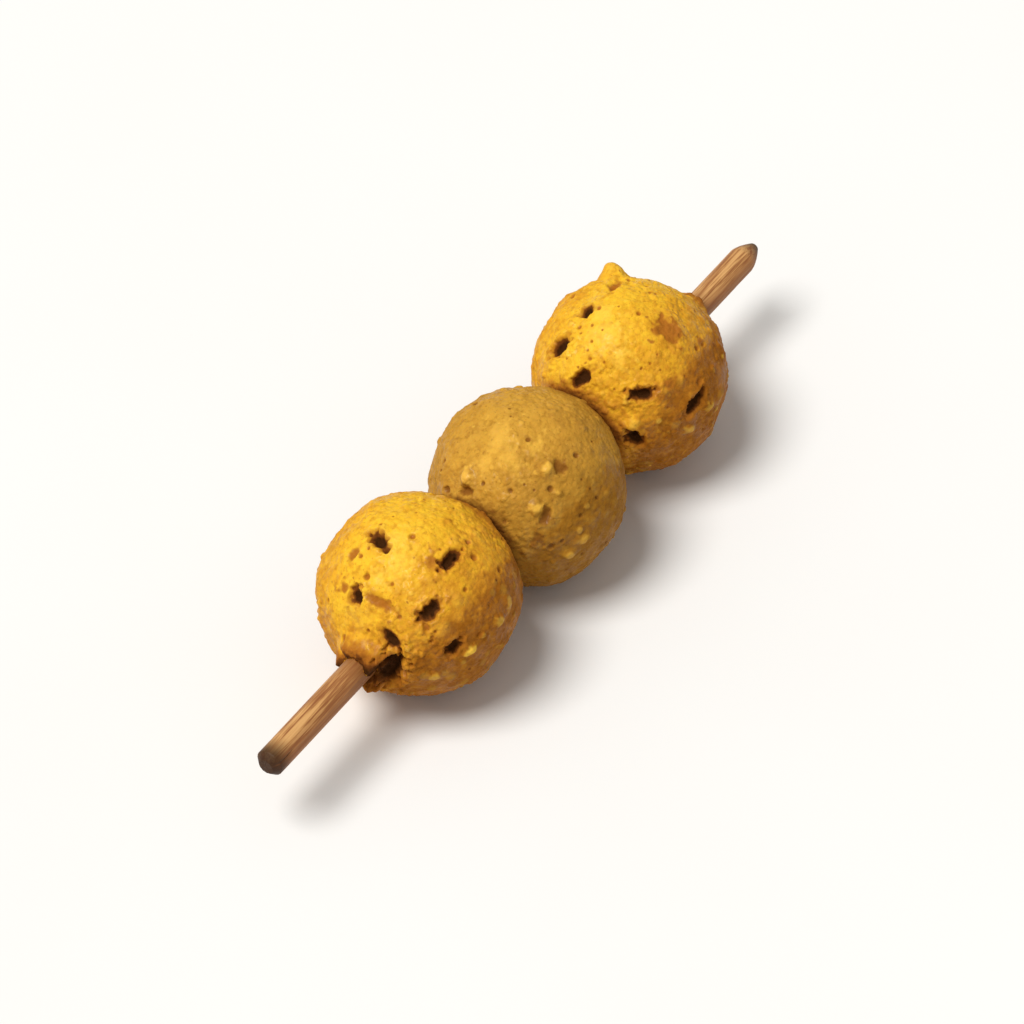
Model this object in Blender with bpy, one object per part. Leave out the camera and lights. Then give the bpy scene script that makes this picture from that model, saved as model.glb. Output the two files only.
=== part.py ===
"""Fried boba skewer: three deep-fried tapioca balls pushed close together on a bamboo stick.

It lies on its side on the floor, z = 0. +X runs along the stick from its grip end to its sharpened
tip, +Z is up, and the origin is on the floor under the middle of the whole: half way along the stick
and half way across the balls, which are threaded a little off their own centres. Metres throughout.
"""

import math
import random
from dataclasses import dataclass

import bmesh
import bpy
from mathutils import Vector, noise

MM = 0.001

# The stick
STICK_LENGTH = 120 * MM
STICK_RADIUS = 2.1 * MM
STICK_HEIGHT = 13.1 * MM  # its axis above the floor
STICK_ASIDE = -0.55 * MM  # its axis across, in Y
STICK_SIDES = 24
GRIP_CHAMFER = 0.9 * MM
TIP_TAPER = 3.4 * MM
TIP_BLUNT_RADIUS = 0.7 * MM
TIP_STEPS = 5

# The row of balls
FREE_GRIP = 37.5 * MM  # from the stick's grip end to the first ball's centre
BALL_SPACING = 25.7 * MM  # less than a ball's width: soft balls squash where they meet
FLOOR_FLAT_DEPTH = 0.45 * MM  # how far a ball settles into its own flat spot
GAP = 0.3 * MM  # between one solid and the next
EDGE_ROUNDING = 1.1 * MM  # how gently a ball turns into its flat sides

# The fried crust
BASE_POINTS = 1200  # points spread evenly over each ball, before those of its marks
LUMP_HEIGHT, LUMP_SIZE = 0.55 * MM, 8.5 * MM
KNOBBLE_HEIGHT, KNOBBLE_SIZE = 0.28 * MM, 3.4 * MM
SEED_SHIFT = Vector((3.1, 1.7, 0.9))  # takes each ball to its own stretch of noise
MAIN_SIDE = Vector((-0.55, -0.38, 0.74))  # the way that the balls' own marks face
MAIN_SIDE_EDGE = -0.15  # scattered marks keep to directions whose share of it is less than this
QUIET_POLE = math.radians(32)  # the relief fades out this close to the flat spot
MARK_STEEPNESS = 3.2  # 2 for a bell curve, more for a flatter floor and steeper walls
RIM_SHARE = 0.22  # a pit's raised rim, as a share of its depth
RIM_AT, RIM_WIDTH = 1.45, 0.40  # where the rim runs, in half-widths of the pit
MARK_RINGS = ((0.45, 5), (0.9, 9), (1.4, 11))  # (distance in half-widths, points) round a mark
MARK_SPACING = 4.4 * MM  # the least distance from a scattered mark to any other
SCATTER_LIMIT = 0.88  # how far towards a ball's ends and its underside they go, as shares of X and -Z
SCATTERED_LENGTH, SCATTERED_WIDTH = (0.9, 1.7), (0.65, 0.85)  # mm, as in Mark
PIT_DEPTH, BLISTER_HEIGHT = (-0.9, -0.5), (0.3, 0.6)  # mm
MARK_POINT_GAP = 0.38 * MM  # the least distance between two points that shape marks
EVEN_POINT_GAP = 0.75 * MM  # and from those to the evenly spread ones
FORM_REACH = 0.5  # cosine of the angle past which a mark, a collar or the floor has no effect
FLAT_REACH = 0.3  # the same for the flat side against a neighbour

# The collar of crust that climbs the stick where it comes out of an outer ball
COLLAR_HEIGHT = 1.8 * MM
COLLAR_TOP, COLLAR_FOOT = 2.8 * MM, 5.4 * MM  # from the stick's axis to its rim and to its foot
COLLAR_UNEVENNESS, COLLAR_WAVES = 0.5, 1.7  # how much and how often its height changes round it
COLLAR_RINGS = ((1.2, 6), (2.7, 14), (3.4, 16), (4.2, 18), (5.2, 20))  # (mm off the axis, points)
BORE_SIDES = 32


@dataclass(frozen=True)
class Mark:
    """An oval pit (height below 0) or blister (above 0) on the crust."""

    along: float  # degrees from the ball's waist towards the stick's tip
    around: float  # degrees round the stick from straight up, positive towards +Y
    length: float  # half the long side, in mm
    width: float  # half the short side, in mm
    height: float  # in mm
    turn: float = 0.0  # degrees from the stick's direction to the long side


@dataclass(frozen=True)
class Ball:
    name: str
    place: int  # its turn on the stick, from the grip end
    aside: float  # its centre across, in Y
    radius: float
    open_side: int  # the X side where the stick shows: -1, 1, or 0 between two neighbours
    marks: tuple
    scattered_pits: int
    scattered_blisters: int
    smoothness: float  # 0 for a rough crust, 1 for one without knobbles
    seed: int
    color: tuple


GRIP_MARKS = (
    # Burst blisters, browned inside
    Mark(-18, 15, 1.9, 0.95, -1.05, turn=69),
    Mark(-6, -27, 1.9, 0.95, -1.00, turn=0),
    Mark(-52, 17, 1.2, 0.95, -0.95, turn=20),
    Mark(-34, -41, 1.9, 0.95, -1.05, turn=6),
    Mark(-62, -42, 1.7, 0.8, -0.75, turn=97),
    Mark(-33, -74, 1.3, 1.0, -1.00, turn=40),
    # Shallow dents
    Mark(-50, -6, 2.6, 0.8, -0.40, turn=90),
    Mark(-29, 30, 1.1, 0.9, -0.35),
    # Whole blisters
    Mark(-24, -80, 1.1, 0.9, 0.60),
    Mark(9, -69, 1.5, 0.9, 0.55, turn=80),
    Mark(-2, -74, 1.1, 0.9, 0.50),
    Mark(-45, -98, 1.1, 0.9, 0.55),
    Mark(20, -28, 1.4, 1.0, 0.35, turn=90),
    # The collar torn open beside the stick
    Mark(-71, -97, 3.1, 1.9, -2.50, turn=80),
)

MIDDLE_MARKS = (
    # Crumbs that stand up from the crust, each with a dent at its foot
    Mark(-47, 21, 1.1, 0.95, 0.65),
    Mark(-55, 19, 1.0, 0.8, -0.45, turn=90),
    Mark(-19, -28, 1.1, 0.95, 0.70),
    Mark(-12, -33, 1.3, 0.8, -0.50, turn=70),
    Mark(-38, -43, 1.1, 0.95, 0.70),
    Mark(-36, -52, 1.4, 0.8, -0.50, turn=30),
    # Whole blisters
    Mark(-22, -81, 1.1, 0.9, 0.55),
    Mark(-31, -89, 1.1, 0.9, 0.55),
    Mark(-30, -2, 1.6, 1.2, 0.30, turn=30),
)

TIP_MARKS = (
    # Burst blisters, browned inside
    Mark(-12, 24, 1.0, 0.95, -0.75),
    Mark(-37, 34, 1.9, 0.95, -1.05, turn=-49),
    Mark(-52, 5, 2.0, 0.85, -0.90, turn=-29),
    Mark(-36, -44, 1.9, 0.95, -1.10, turn=-37),
    Mark(-10, -71, 2.3, 0.95, -1.05, turn=22),
    Mark(-52, -80, 2.0, 0.95, -1.00, turn=-61),
    # A shallow dent
    Mark(1, -26, 2.2, 1.3, -0.35, turn=60),
    # Whole blisters
    Mark(-18, -86, 1.1, 0.9, 0.55),
    Mark(-2, -80, 1.3, 0.9, 0.50, turn=20),
    Mark(-50, -61, 1.1, 0.9, 0.50),
    Mark(-45, -39, 1.0, 0.8, 0.35),
    # A bubble of batter that set hard, and the crease at its foot
    Mark(30, 39, 1.9, 1.6, 1.90, turn=40),
    Mark(14, 22, 1.9, 0.85, -0.60, turn=20),
)

GOLDEN = (0.80, 0.42, 0.035, 1.0)
TAN = (0.58, 0.32, 0.045, 1.0)
BAMBOO = (0.55, 0.31, 0.14, 1.0)

BALLS = (
    Ball(
        name="ball_grip",
        place=0,
        aside=0.23 * MM,
        radius=14.25 * MM,
        open_side=-1,
        marks=GRIP_MARKS,
        scattered_pits=15,
        scattered_blisters=8,
        smoothness=0.0,
        seed=11,
        color=GOLDEN,
    ),
    Ball(
        name="ball_middle",
        place=1,
        aside=-0.53 * MM,
        radius=13.95 * MM,
        open_side=0,
        marks=MIDDLE_MARKS,
        scattered_pits=6,
        scattered_blisters=12,
        smoothness=0.35,
        seed=23,
        color=TAN,
    ),
    Ball(
        name="ball_tip",
        place=2,
        aside=-0.25 * MM,
        radius=14.00 * MM,
        open_side=1,
        marks=TIP_MARKS,
        scattered_pits=15,
        scattered_blisters=8,
        smoothness=0.0,
        seed=37,
        color=GOLDEN,
    ),
)


def clear_scene():
    for obj in list(bpy.data.objects):
        bpy.data.objects.remove(obj)


def make_material(name, color, roughness):
    material = bpy.data.materials.new(name)
    material.use_nodes = True
    shader = material.node_tree.nodes["Principled BSDF"]
    shader.inputs["Base Color"].default_value = color
    shader.inputs["Roughness"].default_value = roughness
    shader.inputs["Metallic"].default_value = 0.0
    material.diffuse_color = color
    return material


def make_object(name, mesh, material):
    mesh.materials.append(material)
    obj = bpy.data.objects.new(name, mesh)
    bpy.context.scene.collection.objects.link(obj)
    return obj


def ball_height(ball):
    """The height of a ball's centre, so that its flat spot lies on the floor."""
    return ball.radius - FLOOR_FLAT_DEPTH


def ball_centre(ball):
    along = -STICK_LENGTH / 2 + FREE_GRIP + ball.place * BALL_SPACING
    return Vector((along, ball.aside, ball_height(ball)))


def stick_in_ball(ball):
    """Where the stick's axis passes a ball's centre, across and up from it."""
    return STICK_ASIDE - ball.aside, STICK_HEIGHT - ball_height(ball)


def smooth_step(low, high, value):
    t = min(max((value - low) / (high - low), 0.0), 1.0)
    return t * t * (3 - 2 * t)


def soft_min(a, b, rounding):
    """The smaller of two lengths, with a rounded corner where they cross."""
    overlap = max(rounding - abs(a - b), 0.0) / rounding
    return min(a, b) - overlap * overlap * rounding / 4


def direction_of(along, around):
    """The unit vector at these degrees along and round the stick."""
    tilt, turn = math.radians(along), math.radians(around)
    return Vector((math.sin(tilt), math.cos(tilt) * math.sin(turn), math.cos(tilt) * math.cos(turn)))


def mark_frame(mark):
    """(centre direction, long side, short side) of a mark, as unit vectors."""
    centre = direction_of(mark.along, mark.around)
    towards_tip = (Vector((1, 0, 0)) - centre * centre.x).normalized()
    round_stick = Vector((0, centre.z, -centre.y)).normalized()
    turn = math.radians(mark.turn)
    long_side = towards_tip * math.cos(turn) + round_stick * math.sin(turn)
    return centre, long_side, centre.cross(long_side)


def scattered_marks(ball):
    """The ball's own marks, then pits and blisters spread over the rest of it by a seeded draw."""
    chance = random.Random(ball.seed)
    marks = list(ball.marks)
    centres = [direction_of(mark.along, mark.around) for mark in marks]
    wanted = ball.scattered_pits + ball.scattered_blisters
    made = 0
    while made < wanted:
        along = math.degrees(math.asin(chance.uniform(-SCATTER_LIMIT, SCATTER_LIMIT)))
        around = chance.uniform(-180, 180)
        centre = direction_of(along, around)
        on_main_side = centre.dot(MAIN_SIDE) > MAIN_SIDE_EDGE
        on_floor = centre.z < -SCATTER_LIMIT
        crowded = any((centre - other).length * ball.radius < MARK_SPACING for other in centres)
        if on_main_side or on_floor or crowded:
            continue
        is_pit = made < ball.scattered_pits
        length = chance.uniform(*SCATTERED_LENGTH)
        width = chance.uniform(*SCATTERED_WIDTH)
        height = chance.uniform(*(PIT_DEPTH if is_pit else BLISTER_HEIGHT))
        marks.append(Mark(along, around, length, width, height, chance.uniform(0, 180)))
        centres.append(centre)
        made += 1
    return marks


def mark_height(frame, mark, direction, radius):
    """How far the mark lifts the crust in this direction, in metres."""
    centre, long_side, short_side = frame
    if direction.dot(centre) < FORM_REACH:
        return 0.0
    a = direction.dot(long_side) * radius / (mark.length * MM)
    b = direction.dot(short_side) * radius / (mark.width * MM)
    spread = math.hypot(a, b)
    lift = mark.height * MM * math.exp(-(spread**MARK_STEEPNESS))
    if mark.height < 0:
        lift -= RIM_SHARE * mark.height * MM * math.exp(-(((spread - RIM_AT) / RIM_WIDTH) ** 2))
    return lift


def collar_height(ball, direction):
    """How far the crust climbs along the stick where it comes out of an outer ball."""
    if not ball.open_side or direction.x * ball.open_side < FORM_REACH:
        return 0.0
    across, up = stick_in_ball(ball)
    from_axis = Vector((0, direction.y * ball.radius - across, direction.z * ball.radius - up))
    off_axis = from_axis.length
    turn = from_axis.normalized()
    swell = 1 + COLLAR_UNEVENNESS * noise.noise(turn * COLLAR_WAVES + SEED_SHIFT * ball.seed)
    return COLLAR_HEIGHT * swell * (1 - smooth_step(COLLAR_TOP, COLLAR_FOOT, off_axis))


def crust_radius(ball, frames, direction):
    """The distance from the ball's centre to its crust in this direction."""
    point = direction * ball.radius
    shift = SEED_SHIFT * ball.seed
    lumps = LUMP_HEIGHT * noise.noise(point / LUMP_SIZE + shift)
    knobbles = KNOBBLE_HEIGHT * noise.noise(point / KNOBBLE_SIZE - shift) * (1 - ball.smoothness)
    marked = sum(mark_height(frame, mark, direction, ball.radius) for mark, frame in frames)
    from_floor = math.acos(min(max(-direction.z, -1.0), 1.0))
    liveliness = smooth_step(QUIET_POLE / 2, QUIET_POLE, from_floor)
    crust = ball.radius + (lumps + knobbles + marked) * liveliness + collar_height(ball, direction)

    # Neighbours squash a ball flat where they meet, and the floor flattens its underside.
    for side in (-1, 1):
        if side == ball.open_side or direction.x * side < FLAT_REACH:
            continue
        contact = (BALL_SPACING - GAP) / 2 / (direction.x * side)
        crust = soft_min(crust, contact, EDGE_ROUNDING)
    if -direction.z > FORM_REACH:
        crust = min(crust, ball_height(ball) / -direction.z)
    return crust


def even_directions(count):
    """Directions spread evenly over the sphere along a golden-angle spiral."""
    golden_angle = math.pi * (3 - math.sqrt(5))
    for i in range(count):
        x = 1 - 2 * (i + 0.5) / count
        turn = golden_angle * i
        ring = math.sqrt(1 - x * x)
        yield Vector((x, ring * math.cos(turn), ring * math.sin(turn)))


def mark_directions(mark, frame, radius):
    """A mark's centre, then rings of points over its slope and its rim."""
    centre, long_side, short_side = frame
    yield centre
    for ring, points in MARK_RINGS:
        for i in range(points):
            turn = 2 * math.pi * (i + ring) / points
            a = math.cos(turn) * ring * mark.length * MM / radius
            b = math.sin(turn) * ring * mark.width * MM / radius
            yield (centre + long_side * a + short_side * b).normalized()


def collar_directions(ball):
    """Rings of points round the hole in a ball's open side."""
    across, up = stick_in_ball(ball)
    for off_axis, points in COLLAR_RINGS:
        for i in range(points):
            turn = 2 * math.pi * (i + off_axis) / points
            y = (across + off_axis * MM * math.cos(turn)) / ball.radius
            z = (up + off_axis * MM * math.sin(turn)) / ball.radius
            yield Vector((ball.open_side * math.sqrt(1 - y * y - z * z), y, z))


def ball_directions(ball, frames):
    """All of a ball's points, as directions: those that shape its marks and collar, then even filling."""
    shaping = [d for mark, frame in frames for d in mark_directions(mark, frame, ball.radius)]
    if ball.open_side:
        shaping += collar_directions(ball)
    kept = []
    for direction in shaping:
        if all((direction - other).length * ball.radius > MARK_POINT_GAP for other in kept):
            kept.append(direction)
    filling = [
        direction
        for direction in even_directions(BASE_POINTS)
        if all((direction - other).length * ball.radius > EVEN_POINT_GAP for other in kept)
    ]
    return kept + filling


def build_ball(ball, cutter):
    """A closed skin stretched over evenly spread directions, pushed out to the crust and bored."""
    marks = scattered_marks(ball)
    frames = [(mark, mark_frame(mark)) for mark in marks]
    shell = bmesh.new()
    for direction in ball_directions(ball, frames):
        shell.verts.new(direction)
    bmesh.ops.convex_hull(shell, input=shell.verts)
    for vert in shell.verts:
        vert.co = vert.co.normalized()
        vert.co *= crust_radius(ball, frames, vert.co)
    bmesh.ops.recalc_face_normals(shell, faces=shell.faces)
    mesh = bpy.data.meshes.new(ball.name)
    shell.to_mesh(mesh)
    shell.free()
    mesh.shade_smooth()

    obj = make_object(ball.name, mesh, make_material(ball.name + "_crust", ball.color, 0.5))
    obj.location = ball_centre(ball)
    bore = obj.modifiers.new("bore", "BOOLEAN")
    bore.operation = "DIFFERENCE"
    bore.solver = "EXACT"
    bore.object = cutter
    return obj


def build_bore_cutter():
    """A helper along the stick, a gap wider than it, that cuts the balls' holes."""
    cutter = bmesh.new()
    bmesh.ops.create_cone(
        cutter,
        cap_ends=True,
        segments=BORE_SIDES,
        radius1=STICK_RADIUS + GAP,
        radius2=STICK_RADIUS + GAP,
        depth=STICK_LENGTH,
    )
    mesh = bpy.data.meshes.new("bore_cutter")
    cutter.to_mesh(mesh)
    cutter.free()
    obj = bpy.data.objects.new("bore_cutter", mesh)
    bpy.context.scene.collection.objects.link(obj)
    obj.location = (0, STICK_ASIDE, STICK_HEIGHT)
    obj.rotation_euler = (0, math.pi / 2, 0)
    obj.hide_render = True
    obj.display_type = "WIRE"
    return obj


def stick_profile():
    """(x, radius) along the stick: a chamfered grip end, a straight shaft and a rounded point."""
    end = STICK_LENGTH / 2
    yield -end, STICK_RADIUS - GRIP_CHAMFER
    yield -end + GRIP_CHAMFER, STICK_RADIUS
    for step in range(TIP_STEPS + 1):
        t = step / TIP_STEPS
        yield end - TIP_TAPER * (1 - t), TIP_BLUNT_RADIUS + (STICK_RADIUS - TIP_BLUNT_RADIUS) * (1 - t**1.5)


def build_stick():
    rod = bmesh.new()
    rings = []
    for x, radius in stick_profile():
        turns = [2 * math.pi * i / STICK_SIDES for i in range(STICK_SIDES)]
        rings.append([rod.verts.new((x, radius * math.sin(t), radius * math.cos(t))) for t in turns])
    for first, second in zip(rings, rings[1:]):
        for i in range(STICK_SIDES):
            j = (i + 1) % STICK_SIDES
            rod.faces.new((first[i], second[i], second[j], first[j]))
    rod.faces.new(rings[0])
    rod.faces.new(rings[-1])
    bmesh.ops.recalc_face_normals(rod, faces=rod.faces)
    mesh = bpy.data.meshes.new("stick")
    rod.to_mesh(mesh)
    rod.free()
    mesh.shade_smooth()
    mesh.set_sharp_from_angle(angle=math.radians(35))
    obj = make_object("stick", mesh, make_material("bamboo", BAMBOO, 0.6))
    obj.location = (0, STICK_ASIDE, STICK_HEIGHT)
    return obj


def main():
    clear_scene()
    cutter = build_bore_cutter()
    for ball in BALLS:
        build_ball(ball, cutter)
    build_stick()


main()
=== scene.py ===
import math
import random

import bmesh
import bpy
import numpy as np
from mathutils import Matrix, Vector, noise


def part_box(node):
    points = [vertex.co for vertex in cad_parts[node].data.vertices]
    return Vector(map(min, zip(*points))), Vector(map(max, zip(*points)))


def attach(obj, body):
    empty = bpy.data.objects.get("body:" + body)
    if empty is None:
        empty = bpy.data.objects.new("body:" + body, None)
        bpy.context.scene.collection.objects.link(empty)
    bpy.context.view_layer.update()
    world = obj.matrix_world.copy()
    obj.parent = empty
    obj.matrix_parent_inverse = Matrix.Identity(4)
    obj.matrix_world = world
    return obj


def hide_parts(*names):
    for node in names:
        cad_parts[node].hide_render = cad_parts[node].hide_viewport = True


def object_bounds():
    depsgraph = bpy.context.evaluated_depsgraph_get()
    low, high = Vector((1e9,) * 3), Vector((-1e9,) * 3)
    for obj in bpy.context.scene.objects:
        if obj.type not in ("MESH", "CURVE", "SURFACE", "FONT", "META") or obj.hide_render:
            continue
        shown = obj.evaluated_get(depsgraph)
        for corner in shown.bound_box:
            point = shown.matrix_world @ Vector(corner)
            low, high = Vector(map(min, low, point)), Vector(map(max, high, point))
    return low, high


# The looks of a fried boba skewer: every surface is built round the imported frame, in metres

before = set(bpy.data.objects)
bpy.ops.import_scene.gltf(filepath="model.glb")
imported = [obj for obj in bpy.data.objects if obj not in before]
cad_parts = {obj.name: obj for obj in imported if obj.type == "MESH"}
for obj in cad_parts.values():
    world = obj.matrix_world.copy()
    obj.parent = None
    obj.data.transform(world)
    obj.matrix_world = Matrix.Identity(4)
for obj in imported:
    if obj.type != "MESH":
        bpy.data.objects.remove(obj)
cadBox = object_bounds()
mm = 0.001

stickLow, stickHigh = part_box("stick")
stickMiddle = (stickLow + stickHigh) / 2
stickRadius = (stickHigh.z - stickLow.z) / 2
middleLow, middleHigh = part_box("ball_middle")
squashedWidth = middleHigh.x - middleLow.x  # a ball between two others, from flat side to flat side
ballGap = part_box("ball_tip")[0].x - middleHigh.x
print("frame loaded:", sorted(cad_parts))


# Shader maths: a Wire is one output socket, and maths on Wires adds the nodes for it
class Wire:
    def __init__(self, tree, socket=None):
        self.tree = tree
        self.socket = socket

    def node(self, kind, settings=None, values=None, output=0):
        made = self.tree.nodes.new("ShaderNode" + kind)
        for name, setting in (settings or {}).items():
            if name == "stops":
                setStops(made.color_ramp, setting)
            else:
                setattr(made, name, setting)
        for key, value in (values or {}).items():
            if isinstance(value, Wire):
                self.tree.links.new(value.socket, made.inputs[key])
            else:
                made.inputs[key].default_value = value
        return Wire(self.tree, made.outputs[output])

    def maths(self, operation, *values):
        return self.node("Math", {"operation": operation}, dict(enumerate(values)))

    def __add__(self, other):
        return self.maths("ADD", self, other)

    def __sub__(self, other):
        return self.maths("SUBTRACT", self, other)

    def __rsub__(self, other):
        return self.maths("SUBTRACT", other, self)

    def __mul__(self, other):
        return self.maths("MULTIPLY", self, other)

    __radd__ = __add__
    __rmul__ = __mul__


def setStops(ramp, stops):
    while len(ramp.elements) < len(stops):
        ramp.elements.new(0.5)
    for element, (position, colour) in zip(ramp.elements, stops):
        element.position = position
        element.color = (*colour, 1.0)


def tint(mask, first, second):
    # a colour that goes from the first to the second as the mask goes from 0 to 1
    colours = [c if isinstance(c, Wire) else (*c, 1.0) for c in (first, second)]
    return mask.node("Mix", {"data_type": "RGBA"}, {0: mask, 6: colours[0], 7: colours[1]}, 2)


def rise(value, low, high):
    # 0 below low, 1 above high, and a soft step between
    steps = {"Value": value, "From Min": low, "From Max": high}
    return value.node("MapRange", {"interpolation_type": "SMOOTHSTEP"}, steps)


def grainAt(place, size, detail=2.0, roughness=0.55, output="Fac"):
    # soft noise of this grain size, in the units of place
    values = {"Vector": place, "Scale": 1 / size, "Detail": detail, "Roughness": roughness}
    return place.node("TexNoise", values=values, output=output)


def cellsAt(place, size):
    # how far each point is from the middle of its cell
    return place.node("TexVoronoi", values={"Vector": place, "Scale": 1 / size}, output="Distance")


def strayed(place, size, reach):
    # the same place, moved about by noise so that cells lose their straight edges
    stray = grainAt(place, size, output="Color")
    stray = stray.node("VectorMath", {"operation": "SUBTRACT"}, {0: stray, 1: (0.5, 0.5, 0.5)})
    stray = stray.node("VectorMath", {"operation": "SCALE"}, {0: stray, "Scale": reach})
    return stray.node("VectorMath", {"operation": "ADD"}, {0: place, 1: stray})


def painted(start, name):
    # a mask that the piece's own points carry
    return start.node("Attribute", {"attribute_name": name}, output="Fac")


def shifted(start, shift):
    # the piece's own coordinates in millimetres, moved on so that no two pieces match
    place = start.node("TexCoord", output="Object")
    place = place.node("VectorMath", {"operation": "SCALE"}, {0: place, "Scale": 1 / mm})
    return place.node("VectorMath", {"operation": "ADD"}, {0: place, 1: shift})


def newMaterial(name):
    material = bpy.data.materials.new(name)
    material.use_nodes = True
    return material, material.node_tree.nodes["Principled BSDF"], Wire(material.node_tree)


def connect(shader, wires):
    for name, wire in wires.items():
        wire.tree.links.new(wire.socket, shader.inputs[name])


def setValues(shader, values):
    for name, value in values.items():
        shader.inputs[name].default_value = value


# The camera looks down on the skewer from beyond its grip end
view = {
    "turn": 55.04,  # degrees from +Y towards +X
    "elevation": 48.17,
    "distance": 1500 * mm,  # far off with a long lens, so the three balls look equally large
    "lens": 373.8,
    "nearest": 10 * mm,
    "aimRight": -2.29 * mm,  # how far the camera aims beside the stick inside the middle ball
    "aimUp": -3.45 * mm,
}


def viewAxes(turn, elevation):
    turn, elevation = math.radians(turn), math.radians(elevation)
    ahead = Vector((math.sin(turn), math.cos(turn), 0)) * math.cos(elevation)
    ahead.z = -math.sin(elevation)
    right = Vector((math.cos(turn), -math.sin(turn), 0))
    return right, right.cross(ahead), ahead


def placeCamera(target):
    right, up, ahead = viewAxes(view["turn"], view["elevation"])
    lens = bpy.data.cameras.new("camera")
    lens.lens = view["lens"]
    lens.clip_start = view["nearest"]
    camera = bpy.data.objects.new("camera", lens)
    bpy.context.scene.collection.objects.link(camera)
    aim = target + right * view["aimRight"] + up * view["aimUp"]
    turned = Matrix((right, up, -ahead)).transposed().to_4x4()
    camera.matrix_world = Matrix.Translation(aim - ahead * view["distance"]) @ turned
    bpy.context.scene.camera = camera


placeCamera(Vector(((middleLow.x + middleHigh.x) / 2, stickMiddle.y, stickMiddle.z)))
print("camera placed")

# Soft studio light: one broad lamp far above and to the left, in a pale room
studio = {
    "keyFrom": (-0.36, 0.22, 0.905),
    "keyBreadth": 30.0,  # degrees across, as the skewer sees it
    "keyStrength": 2.85,
    "keyColour": (1.0, 0.99, 0.97),
    "roomColour": (1.0, 0.985, 0.96),
    "roomStrength": 0.38,
}


def lightStudio():
    lamp = bpy.data.lights.new("keyLight", "SUN")
    lamp.angle = math.radians(studio["keyBreadth"])
    lamp.energy = studio["keyStrength"]
    lamp.color = studio["keyColour"]
    light = bpy.data.objects.new("keyLight", lamp)
    bpy.context.scene.collection.objects.link(light)
    light.rotation_euler = Vector(studio["keyFrom"]).to_track_quat("Z", "Y").to_euler()
    room = bpy.data.worlds.new("room")
    room.use_nodes = True
    background = room.node_tree.nodes["Background"]
    setValues(background, {"Color": (*studio["roomColour"], 1.0), "Strength": studio["roomStrength"]})
    bpy.context.scene.world = room
    bpy.context.scene.view_settings.view_transform = "Standard"


lightStudio()
print("studio lit")

# The pale floor
floor = {
    "halfWidth": 12.0,
    "squares": 8,
    "drop": 0.02 * mm,
    "colour": (0.86, 0.86, 0.85),
    "warmer": (0.83, 0.82, 0.80),
    "patchSize": 90.0,
    "roughness": 0.75,
    "gloss": 0.2,
}


def buildFloor():
    plane = bmesh.new()
    squares = floor["squares"]
    bmesh.ops.create_grid(plane, x_segments=squares, y_segments=squares, size=floor["halfWidth"])
    mesh = bpy.data.meshes.new("floor")
    plane.to_mesh(mesh)
    plane.free()
    board = bpy.data.objects.new("floor", mesh)
    bpy.context.scene.collection.objects.link(board)
    board.location.z = cadBox[0].z - floor["drop"]
    material, shader, start = newMaterial("palePaper")
    place = shifted(start, (0, 0, 0))
    colour = tint(grainAt(place, floor["patchSize"]), floor["colour"], floor["warmer"])
    connect(shader, {"Base Color": colour})
    setValues(shader, {"Roughness": floor["roughness"], "Specular IOR Level": floor["gloss"]})
    mesh.materials.append(material)


buildFloor()
print("floor laid")

# The shape that all three crusts share, with the same values as the solids
crust = {
    "lumpHeight": 0.55 * mm,
    "lumpSize": 8.5 * mm,
    "knobbleHeight": 0.28 * mm,
    "knobbleSize": 3.4 * mm,
    "seedShift": (3.1, 1.7, 0.9),
    "quietPole": 32.0,  # degrees from straight down, inside which the relief fades out
    "flatDepth": 0.45 * mm,
    "edgeRounding": 1.1 * mm,
    "steepness": 3.2,  # of the sides of pits and blisters
    "rimShare": 0.22,  # how high the rim of a pit stands, as a share of its depth
    "rimAt": 1.45,
    "rimWidth": 0.40,
    "markSpacing": 4.4 * mm,
    "mainSide": (-0.55, -0.38, 0.74),  # the way that the balls' own marks face
    "mainSideEdge": -0.15,
    "scatterLimit": 0.88,
    "scatteredLengths": (0.9, 1.7),
    "scatteredWidths": (0.65, 0.85),
    "scatteredDepths": (-0.9, -0.5),
    "scatteredHeights": (0.3, 0.6),
    "collarHeight": 1.8 * mm,  # how far the crust climbs the stick where it comes out
    "collarTop": 2.8 * mm,
    "collarFoot": 5.4 * mm,
    "collarUnevenness": 0.5,
    "collarWaves": 1.7,
}

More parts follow.
